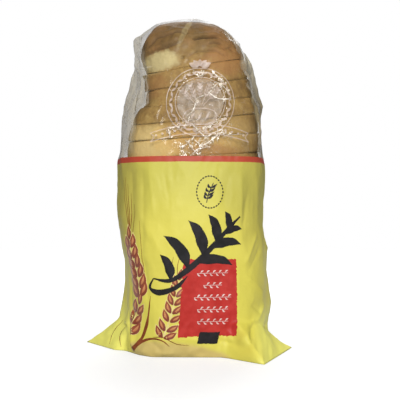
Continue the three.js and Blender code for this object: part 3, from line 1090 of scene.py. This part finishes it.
# For each leaf its share of the way along the stem, its angle in degrees, and its length and width in mm.
SPRIG_LEAVES = [
    (0.20, 112, 20, 7.0),
    (0.38, 126, 30, 8.6),
    (0.53, 112, 28, 8.6),
    (0.68, 106, 21, 7.4),
    (0.83, 100, 13, 5.4),
    (0.46, -4, 27, 7.4),
    (0.62, 6, 23, 7.2),
    (0.77, 14, 15, 5.6),
]
sprig_ink = new_ink()
stroke(sprig_ink, SPRIG, [0.9, 3.0, 4.4, 4.0, 3.0, 1.2], 5, 0.35)
sprig_path = [Vector((u, v, 0)) for u, v in SPRIG]
for share, lean, length, width in SPRIG_LEAVES:
    base = on_path(sprig_path, share)[0]
    heading = bearing(math.radians(lean))
    bend = across_from(heading) * (-0.12 if lean > 90 else 0.12) * length
    line = [base, base + heading * length * 0.35 + bend, base + heading * length * 0.7 + bend]
    stroke(sprig_ink, [*line, base + heading * length], [1.0, width, width * 0.8, 0.4], 5, 0.35)
stroke(sprig_ink, [(-27, 58), (-30, 51), (-22, 48), (-10, 52), (-2, 60)], [0.9, 2.2, 4.4, 3.2, 0.6], 5, 0.35)
ink_piece("print_sprig", sprig_ink, black)

# Small ring of dashes with a sprig in it.
RING, RING_WIDE, RING_HIGH, RING_DASHES = (14.3, 120.8), 9.6, 11.6, 30
RING_STALK = [(11.8, 113), (13.6, 120), (17.0, 127.5)]
RING_LEAVES = [Vector((12.6, 116, 0)), Vector((14, 121, 0)), Vector((16.6, 126, 0))]
ring_ink = new_ink()
for i in range(RING_DASHES):
    turn = i / RING_DASHES * 2 * math.pi
    u, v = RING[0] + RING_WIDE * math.cos(turn), RING[1] + RING_HIGH * math.sin(turn)
    du, dv, _ = bearing(turn + math.pi / 2) * 0.85
    stroke(ring_ink, [(u - du, v - dv), (u + du, v + dv)], [0.4, 1.1, 0.4], 1, cell=0.6)
stroke(ring_ink, RING_STALK, [0.5, 0.9, 0.5], 1, cell=0.6)
for i in range(4):
    for way in (-1, 1):
        u, v, _ = on_path(RING_LEAVES, i / 4)[0]
        leaf = [(u, v), (u + way * 2.0, v + 1.0), (u + way * 3.3 + 1.0, v + 3.0)]
        stroke(ring_ink, leaf, [0.3, 1.9, 0.2], 1, cell=0.6)
ink_piece("print_ring", ring_ink, black)

# Wheat: ears of pointed grains in pairs along a bent stalk, each grain dark round a lighter middle, with
# pale gaps between them and long awns. For each ear the table gives its stalk from foot to tip, its pairs
# of grains, a grain's length and width, how far the grains lean out below and above, and how much wider
# those on the left are, where the film turns to the side.
EARS = [
    ([(-39.5, 44), (-41.5, 58), (-44.5, 72), (-47.5, 86)], 6, 12.0, 6.0, 0.50, 0.30, 1.45),
    ([(-47.5, 16), (-46.0, 23.5), (-43.5, 31), (-41.0, 38)], 3, 11.5, 6.2, 0.56, 0.36, 1.4),
    ([(-19.5, 15), (-14.5, 29), (-11.0, 43), (-8.0, 57)], 7, 10.0, 4.6, 0.80, 0.32, 1.0),
]
AWNS = [
    [(-48, 90), (-51, 104), (-54, 117), (-57, 130)],
    [(-48, 92), (-50, 106), (-52.5, 119), (-54.5, 132)],
    [(-48, 92), (-48.5, 104), (-50, 115), (-51.5, 127)],
    [(-47, 90), (-46.8, 101), (-47.2, 110), (-48, 120)],
    [(-45, 84), (-44, 95), (-43.6, 104), (-44, 112)],
    [(-36, 48), (-35.5, 64), (-37, 82), (-38.5, 100)],
    [(-37, 46), (-35, 56), (-35.5, 66)],
    [(-9, 58), (-9, 68), (-6, 78)],
    [(-12.5, 54), (-13.5, 64), (-12, 74)],
]
STALKS = [
    # a stalk or a blade, then its widths and its layer
    ([(-29.5, 45), (-31.5, 29), (-36.5, 14), (-46, 4.5)], [0.3, 1.3, 2.6, 2.2, 0.9], 2),
    ([(-47, 20), (-48.5, 13), (-47.5, 5)], [0.9, 1.1, 0.8], 2),
    ([(-46, 3.6), (-37, 10.6), (-27, 14.0), (-19, 12.5), (-15, 8.8)], [3.0, 2.2, 1.4, 0.8, 0.2], 2),
    ([(-27, 15.2), (-19, 15.2), (-10, 10.8), (-1, 9.8)], [0.3, 0.6, 0.5, 0.2], 2),
    ([(-75, 21), (-79, 13), (-76, 3)], [0.3, 0.7, 0.3], 0),
    ([(-64, 22), (-68, 13), (-63, 3)], [0.3, 0.8, 0.3], 0),
]
POINTED = [0.15, 0.6, 0.9, 1.0, 0.9, 0.62, 0.3, 0.05]  # a grain's width along it
pale_ink, grain_ink, glow_ink, stalk_ink = new_ink(), new_ink(), new_ink(), new_ink()
for stalk, pairs, length, width, lean_low, lean_high, left_spread in EARS:
    points = [Vector((u, v, 0)) for u, v in stalk]
    stroke(pale_ink, stalk, [1.4, 2.0, 1.6, 0.8], 0)
    for i in range(pairs + 1):
        share = i / pairs
        base, course = on_path(points, min(1, share))
        size = mix(1.0, 0.85, share)
        for way in (-1, 1) if i < pairs else (0,):
            heading = bearing(math.atan2(course.y, course.x) + way * mix(lean_low, lean_high, share))
            out = across_from(course) * way
            wide = width * size * (left_spread if way == 1 else 1)
            foot = base + out * 0.13 * wide
            belly = foot + heading * length * size * 0.5 + out * 0.16 * wide
            tip = foot + heading * length * size
            stroke(pale_ink, [foot, belly, tip + heading * 1.2], [(wide + 0.8) * w for w in POINTED], 0)
            stroke(grain_ink, [foot, belly, tip], [wide * w for w in POINTED], 1)
            inner = [foot.lerp(belly, 0.45), belly, belly.lerp(tip, 0.6)]
            stroke(glow_ink, inner, [wide * 0.34 * w for w in POINTED], 2, cell=0.6)
for awn in AWNS:
    stroke(stalk_ink, awn, [0.6, 0.45, 0.35, 0.2], 0)
for line, widths, layer in STALKS:
    stroke(stalk_ink, line, widths, layer)
pale = flat_ink("pale ink", (0.78, 0.62, 0.20), (0.86, 0.74, 0.30))
wheat = wheat_ink("wheat ink", (0.15, 0.020, 0.006), (0.34, 0.066, 0.018))
light_wheat = wheat_ink("light wheat ink", (0.40, 0.095, 0.028), (0.74, 0.36, 0.13))
ink_piece("print_wheat_edge", pale_ink, pale)
ink_piece("print_wheat_grain", grain_ink, wheat)
ink_piece("print_wheat_glow", glow_ink, light_wheat)
ink_piece("print_wheat_stalk", stalk_ink, flat_ink("brown ink", (0.16, 0.034, 0.010), (0.28, 0.075, 0.022)))

# Seal on the clear part, in one thin pale ink: two rings with grains between them, a loaf and a sheaf inside
# on a tinted disc, leaves above, and a bent bar with beads below.
SEAL = (7.1, 186.5)
SEAL_OUTER, SEAL_INNER, SEAL_GRAINS, SEAL_GRAIN_REACH = 25.0, 18.2, 34, 21.6
SEAL_LOAF = [(-12.5, -10.5), (-9, -6.2), (0, -4.6), (9, -6.2), (12.5, -10.5)]
BAR_HALF, BAR_DROP, BAR_HIGH, BAR_MIDDLE, BAR_LOW = 37, 6.0, -16.4, -19.7, -23.0
seal_ink = new_ink()


def seal_line(points, widths, cell=0.9):
    """A line of the seal, from points given from its middle."""
    stroke(seal_ink, [(SEAL[0] + point[0], SEAL[1] + point[1]) for point in points], widths, cell=cell)


for radius, width in ((SEAL_OUTER, 0.6), (SEAL_INNER, 0.5)):
    seal_line([bearing(i / 24 * 2 * math.pi) * radius for i in range(25)], [width, width], cell=0.8)
for i in range(SEAL_GRAINS):
    turn = (i + 0.5) / SEAL_GRAINS * 2 * math.pi
    middle = bearing(turn) * SEAL_GRAIN_REACH
    end = bearing(turn + math.pi / 2 + (0.5 if i % 2 else -0.5)) * 2.3
    seal_line([middle - end, middle, middle + end], [0.2, 1.9, 0.2])
for turn in (-42, -21, 0, 21, 42):
    foot = Vector((turn * 0.05, -3, 0))
    heading = bearing(math.radians(90 - turn))
    seal_line([foot, foot + heading * 17], [0.5, 0.5])
    for j in range(4):
        for way in (-1, 1):
            base = foot + heading * (7 + 2.6 * j)
            seal_line([base, base + heading * 3.0 + across_from(heading) * way * 1.9], [0.3, 1.5, 0.2], 0.7)
seal_line(SEAL_LOAF, [0.8, 0.8])
seal_line([(u, -21.2 - v) for u, v in SEAL_LOAF], [0.8, 0.8])
for u in (-5.4, 0, 5.4):
    seal_line([(u - 1.6, -13.6), (u + 1.4, -7.4)], [0.3, 1.6, 0.3])
for turn in (-52, -26, 0, 26, 52):
    heading = bearing(math.radians(90 - turn))
    leaf = [(heading.x * wide, 24.5 + heading.y * high) for wide, high in ((2, 2), (9.5, 7.5))]
    seal_line(leaf, [0.8, 4.4, 0.5])
for height in (BAR_LOW, BAR_HIGH):
    seal_line([(BAR_HALF * t, height - BAR_DROP * t * t) for t in (-1, -0.5, 0, 0.5, 1)], [0.7, 0.7])
for way in (-1, 1):
    ends = [(BAR_HALF, BAR_LOW), (BAR_HALF - 3, BAR_MIDDLE), (BAR_HALF, BAR_HIGH)]
    seal_line([(u * way, v - BAR_DROP) for u, v in ends], [0.7, 0.7])
for i in range(15):
    t = (i - 7) / 8
    u, v = BAR_HALF * t, BAR_MIDDLE - BAR_DROP * t * t
    seal_line([(u - 0.9, v), (u, v), (u + 0.9, v)], [0.7, 1.8, 0.7])
tint_ink = new_ink()
corners = [(SEAL[0] + 17 * u, SEAL[1] + 17 * v) for u, v in ((-1, -1), (1, -1), (1, 1), (-1, 1))]
patch(tint_ink, corners, disc=True)


def thin_ink(name, tone, cover_low, cover_high):
    """A pale ink, a painted glint or a painted fold highlight on the film, which covers unevenly what is
    below it.
    """
    material, shader, place = new_material(name)
    connect(shader, Base_Color=(*tone, 1), Roughness=0.35)
    see_through(material, shader, cover_low + noise_map(place, 240, 3) * (cover_high - cover_low))
    return material


ink_piece("print_seal_tint", tint_ink, thin_ink("seal tint", (0.58, 0.48, 0.38), 0.22, 0.50))
ink_piece("print_seal", seal_ink, thin_ink("seal ink", (0.72, 0.57, 0.48), 0.35, 0.80))

# Painted glints: white lines where the clear film is creased sharply and shines.
glint_lines = new_ink()
for number, line in enumerate(GLINTS):
    wide = 0.55 + 0.25 * math.sin(number * 1.9)
    stroke(glint_lines, line, [0.1, wide, 0.3 * wide, wide, 0.1], 5, 0.7, cell=0.4)
ink_piece("film_glints", glint_lines, thin_ink("painted glints", (0.98, 0.90, 0.78), 0.30, 1.35))

# Wide soft folds of the clear film, down its sides and across the loaf's end, with pale lines along them:
# partly the haze of doubled film, partly painted highlight.
fold_lines = new_ink()
for number, line in enumerate(FOLDS):
    stroke(fold_lines, line, [0.2, 1.6, 1.0, 1.8, 0.3], 5, 0.9, cell=0.6)
ink_piece("film_folds", fold_lines, thin_ink("painted fold highlights", (0.60, 0.54, 0.44), -0.1, 0.6))

# Clip
# A flat plate of plastic with a round hole, pushed over the gathered neck. The solid's own shape is right.


def clip_plastic():
    material, shader, place = new_material("clip plastic")
    grain = noise_map(place, 900)
    tone = grain.blend((0.76, 0.72, 0.62), (0.84, 0.80, 0.70))
    connect(shader, Base_Color=tone, Roughness=0.42, Normal=bumps(grain, 0.1, 0.0005))
    return material


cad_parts["clip"].data.materials.clear()
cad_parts["clip"].data.materials.append(clip_plastic())
